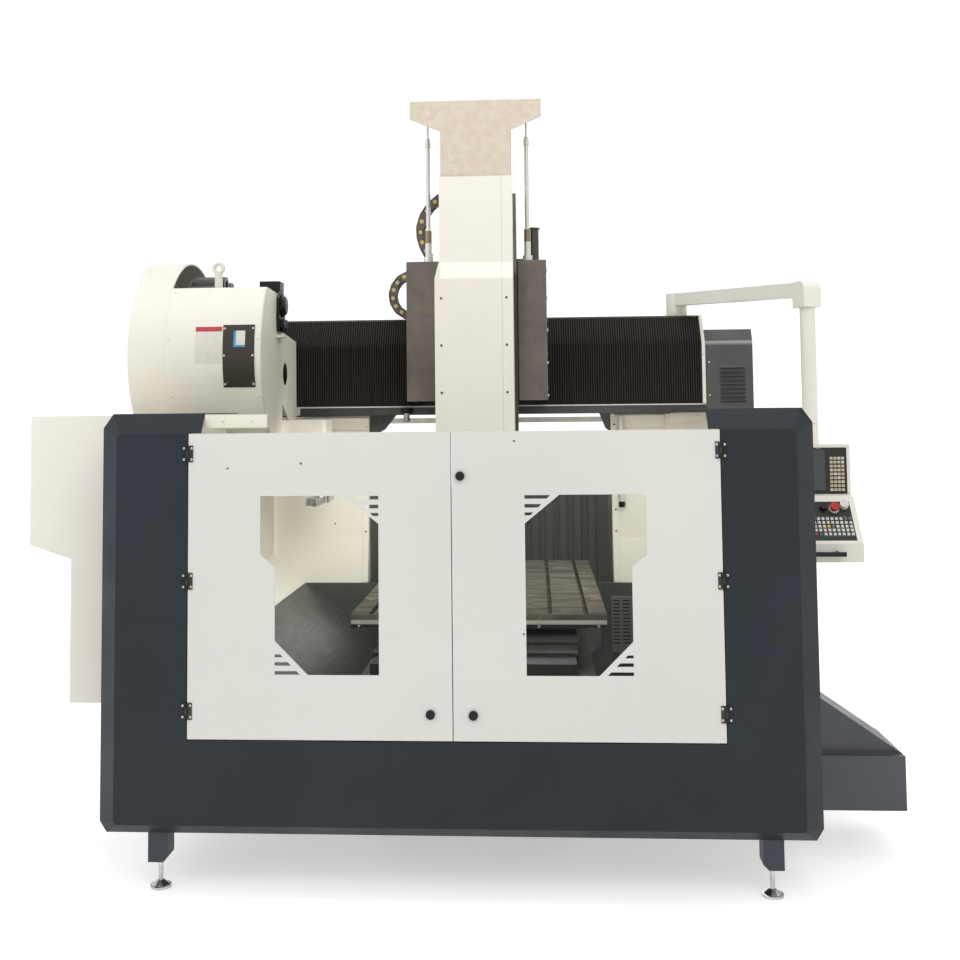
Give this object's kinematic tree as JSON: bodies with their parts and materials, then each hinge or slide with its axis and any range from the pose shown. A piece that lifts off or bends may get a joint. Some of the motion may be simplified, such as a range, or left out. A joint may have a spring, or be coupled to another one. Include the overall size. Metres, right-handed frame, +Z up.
{
  "type": "cnc machining center",
  "caption": "Double-column CNC machining center with a moving T-slot table, vertical ram on a cross saddle, drum tool magazine, front doors and swing pendant.",
  "frame": {"origin": "on the floor, at the middle of the whole machine's bounding box; x 0 is where the two front doors meet", "axes": "+Z up, +X to the operator's right along the crossbeam, +Y from the doors to the back along the table's travel"},
  "size_m": [3.2465, 3.027, 3.075],
  "materials": {
    "cream_paint": "satin",
    "door_paint": "satin",
    "slate_paint": "satin",
    "grey_paint": "satin",
    "cast_paint": "satin",
    "cast_bare": "rough",
    "guard_steel": "satin",
    "bright_steel": "polished",
    "chrome": "polished",
    "bellows_black": "matte",
    "chain_plastic": "matte",
    "black_metal": "satin",
    "black_plastic": "matte",
    "chute_steel": "glossy",
    "clear": "polished",
    "screen_glass": "polished",
    "key_plastic": "satin",
    "red_plastic": "glossy"
  },
  "bodies": {
    "frame": {"machine_bed": "cast_paint", "linear_rails": "bright_steel", "levelling_feet": "bright_steel", "ball_screws": "bright_steel", "columns": "cast_paint", "column_covers": "cream_paint", "crossbeam": "cast_paint", "drive_motors": "black_metal", "beam_motor_cover": "grey_paint", "bellows_left": "bellows_black", "bellows_right": "bellows_black", "front_enclosure": "slate_paint", "enclosure_legs": "black_metal", "hinge_leaves_fixed": "black_metal", "side_guards": "cream_paint", "chip_chutes": "chute_steel", "rear_guard": "cream_paint", "electrical_cabinet": "cream_paint", "chip_hopper": "slate_paint", "magazine_drum": "cream_paint", "magazine_front_cover": "cream_paint", "magazine_frame": "cream_paint", "inspection_plate": "guard_steel", "atc_gearbox": "cast_paint", "pendant_post": "cream_paint", "way_covers_lower": "bright_steel"},
    "table": {"table": "cast_bare", "way_covers_upper": "bright_steel"},
    "front_cover": {"way_cover_front_middle": "bright_steel"},
    "rear_cover": {"way_cover_rear_middle": "bright_steel"},
    "saddle": {"saddle": "cast_paint", "ram_drive": "black_metal", "saddle_guards": "guard_steel", "counterbalance_cylinders": "bright_steel", "saddle_chain": "chain_plastic"},
    "ram": {"ram": "cast_paint", "spindle_motor": "black_metal", "ram_cover": "door_paint", "yoke": "cast_bare", "counterbalance_rods": "chrome", "ram_chain": "chain_plastic"},
    "spindle": {"spindle": "bright_steel"},
    "door_left": {"door_left": "door_paint", "door_left_pane": "clear"},
    "door_right": {"door_right": "door_paint", "door_right_pane": "clear"},
    "latch_knob_upper": {"latch_knob_upper": "black_plastic"},
    "latch_knob_right": {"latch_knob_right": "black_plastic"},
    "latch_knob_left": {"latch_knob_left": "black_plastic"},
    "tool_disc": {"tool_disc": "bright_steel"},
    "atc_arm": {"atc_arm": "bright_steel"},
    "cabinet_door": {"cabinet_door": "cream_paint"},
    "pendant_arm": {"pendant_arm": "cream_paint"},
    "pendant_head": {"pendant_head": "cream_paint", "pendant_screen": "screen_glass", "pendant_keys": "key_plastic", "pendant_handle": "black_metal"},
    "estop_button": {"estop_button": "red_plastic"},
    "dial_feed": {"dial_feed": "black_plastic"},
    "dial_mode": {"dial_mode": "black_plastic"}
  },
  "joints": [
    {"name": "table_slide", "type": "slide", "parent": "frame", "child": "table", "axis": [0, 1, 0], "range_m": [-0.25, 0.415]},
    {"name": "front_cover_slide", "type": "slide", "parent": "frame", "child": "front_cover", "axis": [0, 1, 0], "range_m": [-0.126, 0.208]},
    {"name": "rear_cover_slide", "type": "slide", "parent": "frame", "child": "rear_cover", "axis": [0, 1, 0], "range_m": [-0.126, 0.208]},
    {"name": "saddle_slide", "type": "slide", "parent": "frame", "child": "saddle", "axis": [1, 0, 0], "range_m": [-0.505, 0.505], "deforming": ["bellows_left", "bellows_right", "saddle_chain"]},
    {"name": "ram_slide", "type": "slide", "parent": "saddle", "child": "ram", "axis": [0, 0, 1], "range_m": [-0.395, 0.04], "deforming": ["ram_chain"]},
    {"name": "spindle_turn", "type": "hinge", "parent": "ram", "child": "spindle", "pos_m": [0.028, -0.08, 1.44], "axis": [0, 0, 1], "continuous": true},
    {"name": "door_left_hinge", "type": "hinge", "parent": "frame", "child": "door_left", "pos_m": [-0.912, -1.506, 1.061], "axis": [0, 0, -1], "range_deg": [0, 110]},
    {"name": "door_right_hinge", "type": "hinge", "parent": "frame", "child": "door_right", "pos_m": [0.912, -1.506, 1.061], "axis": [0, 0, 1], "range_deg": [0, 110]},
    {"name": "latch_upper_turn", "type": "hinge", "parent": "door_right", "child": "latch_knob_upper", "pos_m": [0.031, -1.5, 1.415], "axis": [0, 1, 0], "range_deg": [0, 90]},
    {"name": "latch_right_turn", "type": "hinge", "parent": "door_right", "child": "latch_knob_right", "pos_m": [0.069, -1.5, 0.614], "axis": [0, 1, 0], "range_deg": [0, 90]},
    {"name": "latch_left_turn", "type": "hinge", "parent": "door_left", "child": "latch_knob_left", "pos_m": [-0.076, -1.5, 0.616], "axis": [0, -1, 0], "range_deg": [0, 90]},
    {"name": "tool_disc_turn", "type": "hinge", "parent": "frame", "child": "tool_disc", "pos_m": [-1.262, -0.2, 1.891], "axis": [1, 0, 0], "continuous": true},
    {"name": "atc_arm_turn", "type": "hinge", "parent": "frame", "child": "atc_arm", "pos_m": [-0.717, -0.08, 1.3], "axis": [0, 0, 1], "range_deg": [0, 180]},
    {"name": "cabinet_door_hinge", "type": "hinge", "parent": "frame", "child": "cabinet_door", "pos_m": [-1.623, -0.676, 1.39], "axis": [0, 0, -1], "range_deg": [0, 110]},
    {"name": "pendant_arm_swivel", "type": "hinge", "parent": "frame", "child": "pendant_arm", "pos_m": [1.01, 0.405, 2.12], "axis": [0, 0, 1], "range_deg": [0, 75]},
    {"name": "pendant_head_swivel", "type": "hinge", "parent": "pendant_arm", "child": "pendant_head", "pos_m": [1.388, -0.75, 1.54], "axis": [0, 0, 1], "range_deg": [0, 90]},
    {"name": "estop_push", "type": "slide", "parent": "pendant_head", "child": "estop_button", "axis": [0, 0.7978, -0.603], "range_m": [0, 0.008], "stiffness_N_per_m": 600},
    {"name": "dial_feed_turn", "type": "hinge", "parent": "pendant_head", "child": "dial_feed", "pos_m": [1.48, -0.85894, 1.25371], "axis": [0, -0.7978, 0.603], "range_deg": [0, 270]},
    {"name": "dial_mode_turn", "type": "hinge", "parent": "pendant_head", "child": "dial_mode", "pos_m": [1.4, -0.86497, 1.24573], "axis": [0, -0.7978, 0.603], "range_deg": [0, 240]}
  ],
  "couplings": [
    {"joint": "front_cover_slide", "follows": "table_slide", "ratio": 0.5},
    {"joint": "rear_cover_slide", "follows": "table_slide", "ratio": 0.5}
  ]
}
